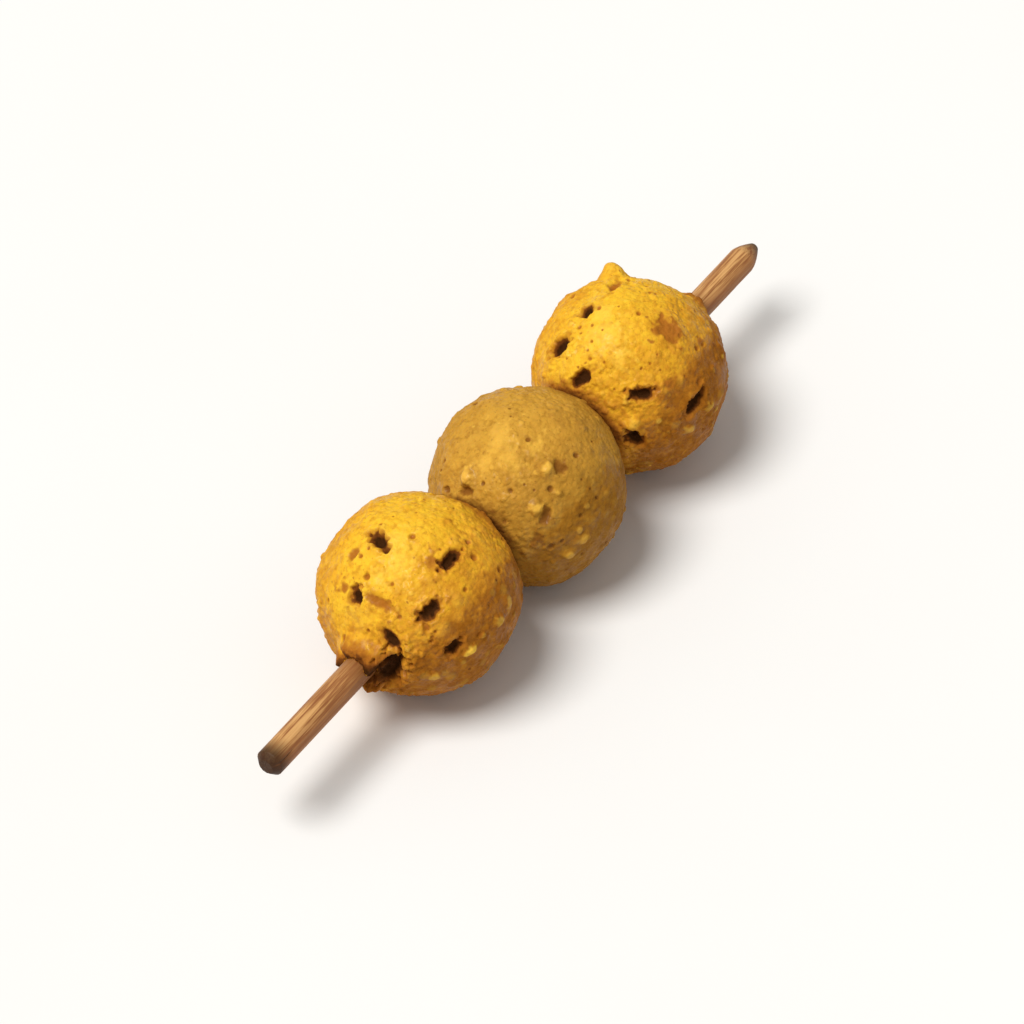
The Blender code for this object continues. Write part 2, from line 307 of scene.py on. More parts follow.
# What only shows close up. A layer of noise is (height, grain size, where in the noise it starts)
closeUp = {
    "cuts": 123,
    "boreRadius": stickRadius + 0.09 * mm,
    "boreSides": 64,
    "seam": 0.02 * mm,  # points closer than this are one, where the stick's hole is cut
    "seamPasses": 3,
    "touching": 0.45,  # how much of the gap between two balls each one takes up
    "touchSide": 0.3,  # how much a direction has to face a neighbour, the floor or the stick's way out
    "floorSide": 0.5,
    "collarSide": 0.5,
    "touchSharpness": 2,
    "markReach": 0.5,  # how far round the ball a mark is worked out, in radians
    "stainReach": 0.7,
    "stainSharpness": 3,
    "ragged": (1.0, 0.9 * mm, 7.7),
    "raggedFiner": (0.5, 0.9 * mm / 2.1, 1.3),
    "pitRaggedness": 0.42,  # how far an outline strays, as a share of the mark's width
    "bubbleRaggedness": 0.14,
    "blisterFraying": 0.5,
    "stainFraying": 0.9,
    "crumbRaggedness": 0.4,
    "collarFraying": 0.25,
    "touchFraying": 0.5,
    "collarRaggedness": 0.30 * mm,
    "wrinkles": (0.11 * mm, 1.5 * mm, 3.3),
    "grain": (0.06 * mm, 0.50 * mm, 5.1),
    "smoothing": 0.6,  # how much of the fine relief a smooth ball loses
    "frothHeight": 0.20 * mm,
    "frothSize": 0.85 * mm,
    "frothStray": (0.35, 0.7 * mm, 6.2),
    "frothPatches": (1.0, 5.0 * mm, 8.8),
    "frothEdge": (-0.12, 0.22),
    "domeWidth": 0.75,
    "domeSink": 0.35,
    "bubbleSizes": (0.55, 1.0),  # square roots of the radii in mm
    "bubbleHeight": 0.20,  # heights, depths and rims of small spots are shares of the radius
    "bubbleSharpness": 3,
    "paleBubbles": 0.6,  # the share of them that came out pale
    "poreSizes": (0.19, 0.36, 2.5),  # mm: the least, how much the widest adds, how rare those are
    "poreDepth": 0.75,
    "poreSharpness": 4,
    "poreRim": 0.12,
    "poreRimAt": (1.5, 0.4),
    "crumbSizes": (0.28, 0.60),  # radii in mm
    "crumbHeight": 0.5,
    "crumbSharpness": 6,
    "crumbPaleness": (0.1, 0.6),
    "speckSizes": (0.20, 0.40),
    "spotReach": 3.2,
    "crestHeight": 0.12 * mm,
    "spotSeed": 1000,  # added to the ball's own seed
    "pitDarkSeed": 2000,
}

# How marks are coloured: the mask, its strength, its width as a share of the mark's, its sharpness
stains = {
    "pitCharAndShade": ("char", 1.0, 0.98, 4),
    "pitBrown": ("brown", 0.78, 1.45, 4),
    "dentBrown": ("brown", 1.0, 1.10, 4),
    "blisterPale": ("pale", 1.0, 0.82, 4),
    "collarHoleShade": ("char", 0.8, 1.0, 8),
    "collarShade": ("char", 0.34, 1.5, 6),
    "collarBrown": ("brown", 0.9, 1.6, 6),
    "paleBubble": ("pale", 0.28, 1.0, 4),
    "brownBubble": ("brown", 0.28, 1.0, 4),
    "pore": ("brown", 0.8, 1.2, 4),
    "crumb": ("pale", 1.0, 1.0, 4),
    "speck": ("char", 0.45, 1.0, 4),
}
blisterRing = {"strength": 0.45, "at": 1.25, "width": 0.35}
paintedContactRim = {"strength": 0.40, "reach": 1.0 * mm}  # painted shade: the darkest rim, where two balls touch
scatteredPitDarkness = (0.35, 0.6, 0.9, 1.0)  # how dark a scattered pit's inside is painted, with char and painted shade
scatteredPaleness = 0.4

# A mark is (degrees along the stick, degrees round it, half length, half width, turn, height, paint)
# with lengths in mm, and a stain or painted highlight patch is the same without a height
gripBall = {
    "node": "ball_grip",
    "aside": 0.78 * mm,  # its centre, across from the stick
    "piece": "grip_ball",
    "slot": "golden_crust",
    "radius": 14.25 * mm,
    "openSide": -1,
    "paintedContactShade": {1: (6.5 * mm, 0.8)},  # how far and how strongly painted shade darkens it towards each neighbour
    "paintedShadeSide": (0.0, -0.85, -0.52),  # the way that the painted shade faces, away from the lamp
    "paintedShadeShift": 0.0,  # how far the painted shade draws back
    "textureShift": (11, 3, 7),
    "smoothness": 0.0,
    "seed": 11,
    "scatteredPits": 15,
    "scatteredBlisters": 8,
    "pits": [
        (-18, 15, 1.9, 0.95, 69, -1.05, 1.0),
        (-6, -27, 1.9, 0.95, 0, -1.00, 1.0),
        (-52, 17, 1.2, 0.95, 20, -0.95, 1.0),
        (-34, -41, 1.9, 0.95, 6, -1.05, 1.0),
        (-62, -42, 1.7, 0.8, 97, -0.75, 1.0),
        (-33, -74, 1.3, 1.0, 40, -1.00, 1.0),
        (-71, -97, 3.1, 1.9, 80, -2.50, 1.0),
    ],
    "dents": [(-50, -6, 2.6, 0.8, 90, -0.40, 0.8), (-29, 30, 1.1, 0.9, 0, -0.35, 0.8)],
    "blisters": [
        (-24, -80, 1.1, 0.9, 0, 0.60, 0.85),
        (9, -69, 1.5, 0.9, 80, 0.55, 0.45),
        (-2, -74, 1.1, 0.9, 0, 0.50, 0.5),
        (-45, -98, 1.1, 0.9, 0, 0.55, 0.5),
        (20, -28, 1.4, 1.0, 90, 0.35, 0.4),
    ],
    "stains": [
        (-14, -20, 1.8, 1.2, 50, 0.75),
        (-50, -14, 1.5, 1.0, 90, 0.75),
        (-48, 31, 1.3, 1.0, 60, 0.75),
        (-62, 110, 6.5, 4.5, 90, 0.50),
    ],
    "paintedHighlights": [
        (-26, -4, 3.4, 2.6, 20, 0.60),
        (-14, 6, 2.2, 1.8, 0, 0.60),
        (-38, 2, 1.6, 1.4, 0, 0.60),
    ],
    "bubbles": 340,
    "pores": 170,
    "crumbs": 60,
    "specks": 12,
}

middleBall = {
    "node": "ball_middle",
    "aside": 0.02 * mm,  # its centre, across from the stick
    "piece": "middle_ball",
    "slot": "tan_crust",
    "radius": 13.95 * mm,
    "openSide": 0,
    "paintedContactShade": {-1: (1.3 * mm, 0.75), 1: (5.5 * mm, 0.55)},
    "paintedShadeSide": (0.05, -0.90, -0.42),
    "paintedShadeShift": 0.07,
    "textureShift": (2, 19, 5),
    "smoothness": 0.35,
    "seed": 23,
    "scatteredPits": 6,
    "scatteredBlisters": 12,
    "pits": [],
    "dents": [
        (-55, 19, 1.0, 0.8, 90, -0.45, 0.8),
        (-12, -33, 1.3, 0.8, 70, -0.50, 0.8),
        (-36, -52, 1.4, 0.8, 30, -0.50, 0.8),
    ],
    "blisters": [
        (-47, 21, 1.1, 0.95, 0, 0.65, 0.9),
        (-19, -28, 1.1, 0.95, 0, 0.70, 0.9),
        (-38, -43, 1.1, 0.95, 0, 0.70, 0.9),
        (-22, -81, 1.1, 0.9, 0, 0.55, 0.6),
        (-31, -89, 1.1, 0.9, 0, 0.55, 0.6),
        (-30, -2, 1.6, 1.2, 30, 0.30, 0.35),
    ],
    "stains": [
        (-47, -68, 1.2, 1.0, 0, 0.75),
        (-10, -35, 1.2, 0.7, 70, 0.75),
        (-37, -54, 1.4, 0.9, 30, 0.85),
    ],
    "paintedHighlights": [
        (-18, 8, 3.0, 1.9, 30, 0.66),
        (-28, -8, 2.6, 1.7, 60, 0.66),
        (-12, -14, 1.7, 1.2, 0, 0.66),
        (-36, 9, 1.8, 1.4, 0, 0.66),
    ],
    "bubbles": 300,
    "pores": 80,
    "crumbs": 50,
    "specks": 6,
}

tipBall = {
    "node": "ball_tip",
    "aside": 0.30 * mm,  # its centre, across from the stick
    "piece": "tip_ball",
    "slot": "golden_crust",
    "radius": 14.00 * mm,
    "openSide": 1,
    "paintedContactShade": {-1: (1.6 * mm, 0.8)},
    "paintedShadeSide": (0.10, -0.94, -0.32),
    "paintedShadeShift": 0.16,
    "textureShift": (31, 8, 13),
    "smoothness": 0.0,
    "seed": 37,
    "scatteredPits": 15,
    "scatteredBlisters": 8,
    "pits": [
        (-12, 24, 1.0, 0.95, 0, -0.75, 1.0),
        (-37, 34, 1.9, 0.95, -49, -1.05, 1.0),
        (-52, 5, 2.0, 0.85, -29, -0.90, 1.0),
        (-36, -44, 1.9, 0.95, -37, -1.10, 1.0),
        (-10, -71, 2.3, 0.95, 22, -1.05, 1.0),
        (-52, -80, 2.0, 0.95, -61, -1.00, 1.0),
    ],
    "dents": [(1, -26, 2.2, 1.3, 60, -0.35, 1.0), (14, 22, 1.9, 0.85, 20, -0.60, 0.8)],
    "blisters": [
        (-18, -86, 1.1, 0.9, 0, 0.55, 0.5),
        (-2, -80, 1.3, 0.9, 20, 0.50, 0.45),
        (-50, -61, 1.1, 0.9, 0, 0.50, 0.5),
        (-45, -39, 1.0, 0.8, 0, 0.35, 0.5),
        (30, 39, 1.9, 1.6, 40, 1.90, 0.5),
    ],
    "stains": [
        (4, -28, 2.2, 1.3, 60, 0.95),
        (-3, -22, 1.5, 1.1, 0, 0.85),
        (-20, -49, 1.2, 0.9, 0, 0.75),
        (16, -45, 1.2, 0.9, 0, 0.75),
        (44, -50, 4.5, 2.6, 60, 0.65),
        (33, 43, 1.0, 0.9, 0, 0.70),
    ],
    "paintedHighlights": [
        (-24, 2, 3.8, 2.8, 70, 0.60),
        (-12, 12, 2.2, 1.8, 0, 0.60),
        (-30, -14, 1.8, 1.5, 0, 0.60),
    ],
    "bubbles": 340,
    "pores": 170,
    "crumbs": 60,
    "specks": 12,
}


def directionOf(along, around):
    tilt, turn = math.radians(along), math.radians(around)
    return Vector((math.sin(tilt), math.cos(tilt) * math.sin(turn), math.cos(tilt) * math.cos(turn)))


def sidesOf(centre, turn):
    # the long and the short side of an oval mark, along the crust
    towardsTip = (Vector((1, 0, 0)) - centre * centre.x).normalized()
    roundStick = Vector((0, centre.z, -centre.y)).normalized()
    turn = math.radians(turn)
    longSide = towardsTip * math.cos(turn) + roundStick * math.sin(turn)
    return longSide, centre.cross(longSide)


def scatterMarks(ball):
    # the same seeded draw as the solids', so that pits and blisters land in the same places
    chance = random.Random(ball["seed"])
    placed = ball["pits"] + ball["dents"] + ball["blisters"]
    centres = [directionOf(*mark[:2]) for mark in placed]
    pits, blisters = [], []
    while len(pits) + len(blisters) < ball["scatteredPits"] + ball["scatteredBlisters"]:
        along = math.degrees(math.asin(chance.uniform(-crust["scatterLimit"], crust["scatterLimit"])))
        around = chance.uniform(-180, 180)
        centre = directionOf(along, around)
        onMainSide = centre.dot(Vector(crust["mainSide"])) > crust["mainSideEdge"]
        onFloor = centre.z < -crust["scatterLimit"]
        apart = min((centre - other).length for other in centres) * ball["radius"]
        if onMainSide or onFloor or apart < crust["markSpacing"]:
            continue
        isPit = len(pits) < ball["scatteredPits"]
        length = chance.uniform(*crust["scatteredLengths"])
        width = chance.uniform(*crust["scatteredWidths"])
        height = chance.uniform(*crust["scatteredDepths" if isPit else "scatteredHeights"])
        turn = chance.uniform(0, 180)
        (pits if isPit else blisters).append((along, around, length, width, turn, height))
        centres.append(centre)
    return pits, blisters


def noiseOver(points, size, shift=0.0):
    return np.array([noise.noise(place) for place in (points / size + shift).tolist()])


def softStep(low, high, value):
    t = np.clip((value - low) / (high - low), 0, 1)
    return t * t * (3 - 2 * t)


def fade(spread, width, sharpness):
    # 1 in the middle of a mark, and 0 well outside it
    return np.exp(-((spread / width) ** sharpness))


def ringAt(spread, at, width):
    # 1 on a ring round a mark
    return np.exp(-(((spread - at) / width) ** 2))


def spreadFrom(mark, near, radius):
    # how far each direction is from the mark's centre: 1 on the oval's edge
    centre = directionOf(*mark[:2])
    longSide, shortSide = sidesOf(centre, mark[4])
    along = near @ np.array(longSide) * radius / (mark[2] * mm)
    across = near @ np.array(shortSide) * radius / (mark[3] * mm)
    return np.hypot(along, across)


def closeTo(directions, centre, angle):
    return np.flatnonzero(directions @ np.array(centre) > math.cos(angle))


class Crust:
    # one ball's skin: heights above its round form and painted masks, for any set of directions
    def __init__(self, ball, directions):
        self.ball = ball
        self.directions = directions
        self.points = directions * ball["radius"]
        self.shift = np.array(crust["seedShift"]) * ball["seed"]
        self.ragged = self.layer("ragged") + self.layer("raggedFiner")
        self.relief = np.zeros(len(directions))
        self.masks = {name: np.zeros(len(directions)) for name in ("char", "brown", "pale")}

    def layer(self, name):
        height, size, start = closeUp[name]
        return height * noiseOver(self.points, size, start)

    def paint(self, name, where, strength):
        mask = self.masks[name]
        mask[where] = np.maximum(mask[where], strength)

    def colour(self, kind, where, spread, strength=1.0):
        name, share, width, sharpness = stains[kind]
        self.paint(name, where, strength * share * fade(spread, width, sharpness))

    def addLumps(self):
        self.relief += crust["lumpHeight"] * noiseOver(self.points, crust["lumpSize"], self.shift)
        rough = 1 - self.ball["smoothness"]
        knobbles = noiseOver(self.points, crust["knobbleSize"], -self.shift)
        self.relief += crust["knobbleHeight"] * knobbles * rough

    def addMark(self, mark):
        height = mark[5] * mm
        centre = directionOf(*mark[:2])
        where = closeTo(self.directions, centre, closeUp["markReach"])
        spread = spreadFrom(mark, self.directions[where], self.ball["radius"])
        raggedness = closeUp["pitRaggedness" if height < 0 else "bubbleRaggedness"]
        spread *= 1 + raggedness * self.ragged[where]
        lift = height * fade(spread, 1, crust["steepness"])
        if height < 0:
            lift -= crust["rimShare"] * height * ringAt(spread, crust["rimAt"], crust["rimWidth"])
        self.relief[where] += lift
        return where, spread

    def addPit(self, mark, burnt):
        where, spread = self.addMark(mark)
        # the pit's dark inside is painted shade with char in it, and a brown ring lies round it
        self.colour("pitCharAndShade", where, spread, burnt)
        self.colour("pitBrown", where, spread)

    def addDent(self, mark, strength):
        where, spread = self.addMark(mark)
        self.colour("dentBrown", where, spread, strength)

    def addBlister(self, mark, strength):
        where, spread = self.addMark(mark)
        frayed = spread * (1 + closeUp["blisterFraying"] * self.ragged[where])
        self.colour("blisterPale", where, frayed, strength)
        ring = ringAt(frayed, blisterRing["at"], blisterRing["width"])
        self.paint("brown", where, blisterRing["strength"] * strength * ring)

    def addStainOrHighlight(self, stain, name):
        # lays a brown stain, and likewise each painted highlight patch into the pale mask
        centre = directionOf(*stain[:2])
        where = closeTo(self.directions, centre, closeUp["stainReach"])
        spread = spreadFrom(stain, self.directions[where], self.ball["radius"])
        spread *= 1 + closeUp["stainFraying"] * self.ragged[where]
        self.paint(name, where, stain[5] * fade(spread, 1, closeUp["stainSharpness"]))

    def fadeToFloor(self):
        fromFloor = np.degrees(np.arccos(np.clip(-self.directions[:, 2], -1, 1)))
        self.relief *= softStep(crust["quietPole"] / 2, crust["quietPole"], fromFloor)

    def addCollar(self):
        side = self.ball["openSide"]
        if not side:
            return
        where = np.flatnonzero(self.directions[:, 0] * side > closeUp["collarSide"])
        fromAxis = (self.points[where] - np.array(stickMiddle - ballCentre(self.ball))) * (0, 1, 1)
        offAxis = np.linalg.norm(fromAxis, axis=1)
        ring = fromAxis / np.maximum(offAxis, 1e-9)[:, None]
        swell = 1 + crust["collarUnevenness"] * noiseOver(ring, 1 / crust["collarWaves"], self.shift)
        climb = 1 - softStep(crust["collarTop"], crust["collarFoot"], offAxis)
        rough = closeUp["collarRaggedness"] * self.ragged[where]
        self.relief[where] += crust["collarHeight"] * swell * climb + rough * climb
        frayed = swell * (1 + closeUp["collarFraying"] * self.ragged[where])
        edge = offAxis / crust["collarTop"] / frayed
        # painted shade round the stick's hole: darkest at the hole, with a wider ring of painted shade
        # and a toasted brown ring round it
        for kind in ("collarHoleShade", "collarShade", "collarBrown"):
            self.colour(kind, where, edge)

    def addFroth(self):
        rough = 1 - closeUp["smoothing"] * self.ball["smoothness"]
        self.relief += rough * (np.abs(self.layer("wrinkles")) + self.layer("grain"))
        places = self.points / closeUp["frothSize"] + self.layer("frothStray")[:, None]
        cells = np.array([noise.voronoi(at)[0][0] for at in places.tolist()])
        patchy = softStep(*closeUp["frothEdge"], self.layer("frothPatches"))
        domes = np.maximum(1 - (cells / closeUp["domeWidth"]) ** 2, 0)
        self.relief += rough * closeUp["frothHeight"] * patchy * (domes - closeUp["domeSink"])

    def spot(self, chance, size):
        # a round spot of this radius in mm, anywhere on the ball
        centre = Vector([chance.gauss(0, 1) for _ in range(3)]).normalized()
        where = closeTo(self.directions, centre, closeUp["spotReach"] * size * mm / self.ball["radius"])
        off = self.directions[where] - np.array(centre)
        return where, np.linalg.norm(off, axis=1) * self.ball["radius"] / (size * mm)

    def lift(self, where, spread, height, sharpness):
        self.relief[where] += height * mm * fade(spread, 1, sharpness)

    def addBubbles(self, chance):
        for _ in range(self.ball["bubbles"]):
            size = chance.uniform(*closeUp["bubbleSizes"]) ** 2
            where, spread = self.spot(chance, size)
            self.lift(where, spread, closeUp["bubbleHeight"] * size, closeUp["bubbleSharpness"])
            isPale = chance.random() < closeUp["paleBubbles"]
            self.colour("paleBubble" if isPale else "brownBubble", where, spread)

    def addPores(self, chance):
        least, most, rarity = closeUp["poreSizes"]
        for _ in range(self.ball["pores"]):
            size = least + most * chance.random() ** rarity
            where, spread = self.spot(chance, size)
            self.lift(where, spread, -closeUp["poreDepth"] * size, closeUp["poreSharpness"])
            self.relief[where] += closeUp["poreRim"] * size * mm * ringAt(spread, *closeUp["poreRimAt"])
            self.colour("pore", where, spread)

    def addCrumbs(self, chance):
        for _ in range(self.ball["crumbs"]):
            size = chance.uniform(*closeUp["crumbSizes"])
            where, spread = self.spot(chance, size)
            torn = spread * (1 + closeUp["crumbRaggedness"] * self.ragged[where])
            self.lift(where, torn, closeUp["crumbHeight"] * size, closeUp["crumbSharpness"])
            self.colour("crumb", where, spread, chance.uniform(*closeUp["crumbPaleness"]))

    def addSpecks(self, chance):
        for _ in range(self.ball["specks"]):
            where, spread = self.spot(chance, chance.uniform(*closeUp["speckSizes"]))
            self.colour("speck", where, spread)

    def radii(self):
        # where neighbours and the floor press the ball flat
        reach = self.ball["radius"] + self.relief
        for side, (paintedContactShade, strength) in self.ball["paintedContactShade"].items():
            towards = self.directions[:, 0] * side
            where = np.flatnonzero(towards > closeUp["touchSide"])
            contact = (squashedWidth / 2 + ballGap * closeUp["touching"]) / towards[where]
            apart = np.maximum(crust["edgeRounding"] - np.abs(reach[where] - contact), 0)
            toTouch = np.maximum(contact - reach[where], 0)
            toTouch *= 1 + closeUp["touchFraying"] * self.ragged[where]
            sharpness = closeUp["touchSharpness"]
            # painted shade towards each neighbour: brown paint, and the darkest paint on the rim where
            # the balls touch
            self.paint("brown", where, strength * fade(toTouch, paintedContactShade, sharpness))
            self.paint("char", where, paintedContactRim["strength"] * fade(toTouch, paintedContactRim["reach"], sharpness))
            rounded = apart**2 / crust["edgeRounding"] / 4  # softens the edge of the flat
            reach[where] = np.minimum(reach[where], contact) - rounded
        low = np.flatnonzero(-self.directions[:, 2] > closeUp["floorSide"])
        flat = (self.ball["radius"] - crust["flatDepth"]) / -self.directions[low, 2]
        reach[low] = np.minimum(reach[low], flat)
        return reach


def growCrust(ball, directions):
    skin = Crust(ball, directions)
    skin.addLumps()
    pits, blisters = scatterMarks(ball)
    pitDarkDraw = random.Random(ball["seed"] + closeUp["pitDarkSeed"])
    for mark in ball["pits"]:
        skin.addPit(mark, mark[6])
    for mark in pits:
        skin.addPit(mark, pitDarkDraw.choice(scatteredPitDarkness))
    for mark in ball["dents"]:
        skin.addDent(mark, mark[6])
    for mark in ball["blisters"]:
        skin.addBlister(mark, mark[6])
    for mark in blisters:
        skin.addBlister(mark, scatteredPaleness)
    for stain in ball["stains"]:
        skin.addStainOrHighlight(stain, "brown")
    # painted highlights: lighter patches where the lamp lights the crust most
    for patch in ball["paintedHighlights"]:
        skin.addStainOrHighlight(patch, "pale")
    broad = skin.relief.copy()
    skin.addFroth()
    chance = random.Random(ball["seed"] + closeUp["spotSeed"])
    for addSmall in (skin.addBubbles, skin.addPores, skin.addCrumbs, skin.addSpecks):
        addSmall(chance)
    skin.masks["crest"] = np.clip((skin.relief - broad) / closeUp["crestHeight"], -1, 1)
    skin.fadeToFloor()
    skin.addCollar()
    return skin


def pointsOf(mesh):
    points = np.empty(len(mesh.vertices) * 3)
    mesh.vertices.foreach_get("co", points)
    return points.reshape(-1, 3)


def evenBall(cuts):
    # a cube's faces cut into grids and blown up into a ball, which spaces the points evenly
    shell = bmesh.new()
    bmesh.ops.create_cube(shell, size=2)
    bmesh.ops.subdivide_edges(shell, edges=shell.edges[:], cuts=cuts, use_grid_fill=True)
    mesh = bpy.data.meshes.new("crust")
    shell.to_mesh(mesh)
    shell.free()
    directions = np.tan(pointsOf(mesh) * math.pi / 4)
    return mesh, directions / np.linalg.norm(directions, axis=1)[:, None]


def makeCutter(centre):
    cutter = bmesh.new()
    turn = Matrix.Rotation(math.pi / 2, 4, "Y")
    bmesh.ops.create_cone(
        cutter,
        cap_ends=True,
        segments=closeUp["boreSides"],
        radius1=closeUp["boreRadius"],
        radius2=closeUp["boreRadius"],
        depth=stickHigh.x - stickLow.x,
        matrix=turn,
    )
    mesh = bpy.data.meshes.new("boreCutter")
    cutter.to_mesh(mesh)
    cutter.free()
    made = bpy.data.objects.new("boreCutter", mesh)
    bpy.context.scene.collection.objects.link(made)
    made.location = (centre.x, stickMiddle.y, stickMiddle.z)
    return made


def cleanEdges(mesh):
    # the cut leaves slivers and spare points along its rim, which would be stray faces
    shape = bmesh.new()
    shape.from_mesh(mesh)
    bmesh.ops.remove_doubles(shape, verts=shape.verts, dist=closeUp["seam"])
    for _ in range(closeUp["seamPasses"]):
        spare = [point for point in shape.verts if len(point.link_edges) == 2]
        bmesh.ops.dissolve_verts(shape, verts=spare)
    shape.to_mesh(mesh)
    shape.free()


def boreThrough(piece, cutter):
    # cuts the stick's hole and keeps the result as the piece's own mesh
    bore = piece.modifiers.new("bore", "BOOLEAN")
    bore.operation = "DIFFERENCE"
    bore.solver = "EXACT"
    bore.object = cutter
    graph = bpy.context.evaluated_depsgraph_get()
    cut = bpy.data.meshes.new_from_object(piece.evaluated_get(graph))
    cleanEdges(cut)
    piece.modifiers.clear()
    piece.data = cut
    bpy.data.objects.remove(cutter)


def ballCentre(ball):
    # worked out from a side that a neighbour presses flat
    low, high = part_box(ball["node"])
    fromSide = high.x - squashedWidth / 2 if ball["openSide"] < 1 else low.x + squashedWidth / 2
    return Vector((fromSide, stickMiddle.y + ball["aside"], low.z + ball["radius"] - crust["flatDepth"]))


def buildBall(ball, material):
    mesh, directions = evenBall(closeUp["cuts"])
    skin = growCrust(ball, directions)
    mesh.vertices.foreach_set("co", (directions * skin.radii()[:, None]).ravel())
    for name, mask in skin.masks.items():
        mesh.attributes.new(name, "FLOAT", "POINT").data.foreach_set("value", mask)
    mesh.update()
    piece = bpy.data.objects.new(ball["piece"], mesh)
    bpy.context.scene.collection.objects.link(piece)
    piece.location = ballCentre(ball)
    bpy.context.view_layer.update()
    boreThrough(piece, makeCutter(piece.location))
    piece.data.shade_smooth()
    piece.data.materials.clear()
    piece.data.materials.append(material)
    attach(piece, "root")
    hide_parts(ball["node"])
    print(ball["piece"], "built with", len(piece.data.polygons), "faces")


# Colours of the two crusts. The tones go from the painted highlight on the skin that faces the lamp to
# the painted shade on the side away from it
goldenCrust = {
    "tones": [
        (0.00, (0.87, 0.500, 0.026)),
        (0.27, (0.77, 0.385, 0.019)),
        (0.50, (0.62, 0.265, 0.017)),
        (0.78, (0.35, 0.122, 0.007)),
        (1.00, (0.255, 0.081, 0.003)),
    ],
    # crease: painted shade in the creases between the skin's small bubbles, and the colour of the broad
    # freckles
    "crease": (0.46, 0.17, 0.010),
    # pale lightens the painted highlight patches as well as pale blisters, bubbles and crumbs
    "pale": (0.97, 0.60, 0.066),
    "brown": (0.40, 0.135, 0.012),
    # wall and the darkest colour are painted shade with char in the pits, painted shade at the stick's
    # hole and where balls touch, and burnt specks
    "wall": (0.160, 0.047, 0.006),
    "char": (0.046, 0.014, 0.002),
}
tanCrust = {
    "tones": [
        (0.00, (0.61, 0.318, 0.036)),
        (0.27, (0.53, 0.260, 0.029)),
        (0.50, (0.44, 0.218, 0.025)),
        (0.78, (0.34, 0.145, 0.011)),
        (1.00, (0.26, 0.102, 0.007)),
    ],
    # crease: painted shade in the creases between the skin's small bubbles, and the colour of the broad
    # freckles
    "crease": (0.32, 0.140, 0.012),
    # pale lightens the painted highlight patches as well as pale blisters, bubbles and crumbs
    "pale": (0.82, 0.46, 0.060),
    "brown": (0.24, 0.09, 0.010),
    # wall and the darkest colour are painted shade with char in the pits, painted shade at the stick's
    # hole and where balls touch, and burnt specks
    "wall": (0.140, 0.045, 0.006),
    "char": (0.046, 0.015, 0.002),
}
finish = {
    "paintedHighlightSide": (-0.36, 0.0, 0.93),  # the way that the painted highlight faces, towards the lamp
    "paintedHighlightEdge": (0.25, 0.95),
    "paintedHighlightBlotches": 0.9,
    "farSide": (0.10, 0.76, -0.64),  # the way that a second darker side faces, at the back and underneath
    "farSideShift": 0.26,
    "paintedHighlightFade": (-0.60, 0.10),
    "paintedShadeEdge": (0.22, 0.48),
    "paintedShadeBlotches": 0.6,
    "paintedHighlightShare": 0.32,  # how far each of these moves the tone
    "paintedShadeShare": 0.46,
    "fleckShare": 0.62,
    "toastedCrests": 0.24,
    # a grain is (size in mm, detail)
    "blotches": (5.5, 2.0),
    "flecks": (1.1, 3.0),
    "toasting": (1.7, 2.0),
    "bubbly": (2.6, 1.0),
    "oilPatches": (3.2, 2.0),
    "fineGrain": (0.22, 3.0),
    # freckles, broad or small: their grain, where they start and are full, strength, colour
    "freckles": [
        ((1.3, 3.0), (0.56, 0.68), 0.42, "crease"),
        ((0.42, 2.0), (0.60, 0.72), 0.45, "brown"),
    ],
    "cellSize": 0.80,
    "fineCellSize": 0.38,
    "cellStray": (0.9, 0.7),
    "cellRound": (0.05, 0.85),  # from the middle of a bubble to its crease, in the relief
    "paintedCreaseEdge": (0.42, 0.85),
    "paintedCreaseShade": (0.10, 0.28),  # how strong the painted shade in the creases is everywhere, and how much more on bubbly skin
    "bubblyEdge": (0.38, 0.62),
    # the painted masks in the order they lie: mask, where it starts and is full, strength, colour
    "paints": [
        # the pale mask carries the painted highlight patches as well as pale blisters, bubbles and
        # crumbs
        ("pale", (0.05, 0.95), 0.85, "pale"),
        ("brown", (0.15, 0.85), 1.0, "brown"),
        # the darkest mask lays painted shade with char in the pits, painted shade at the stick's hole
        # and where balls touch, and burnt specks
        ("char", (0.22, 0.48), 1.0, "wall"),
        ("char", (0.50, 0.85), 1.0, "char"),
    ],
    "fraying": [((0.35, 2.0), 0.35), ((1.2, 2.0), 0.35)],  # the grains that tear the masks' edges
    "solid": 0.65,  # how much of a mask is left when its edge tears
    "roughness": 0.50,
    "unoiled": 0.16,  # how much rougher the skin is without oil, and where char and painted shade lie
    "burnt": 0.30,
    "burntEdge": (0.1, 0.8),
    "brownDryness": 0.3,  # how dry a browned spot is beside a burnt one
    "oilEdge": (0.42, 0.62),
    "gloss": 0.08,
    "oilRoughness": 0.22,
    "oil": 0.16,
    "glow": 0.06,  # how much light sinks into the dough
    "glowDepth": (1.0, 0.45, 0.15),
    "glowScale": 1.2 * mm,
    "bumpStrength": 0.8,
    "bumpDepth": 0.12 * mm,
    "fineBump": 0.35,
}


def facing(start, way, radius):
    # how much a point of a ball lies to one side: 1 on that side, -1 on the other
    own = start.node("TexCoord", output="Object")
    return own.node("VectorMath", {"operation": "DOT_PRODUCT"}, {0: own, 1: way}, "Value") * (1 / radius)


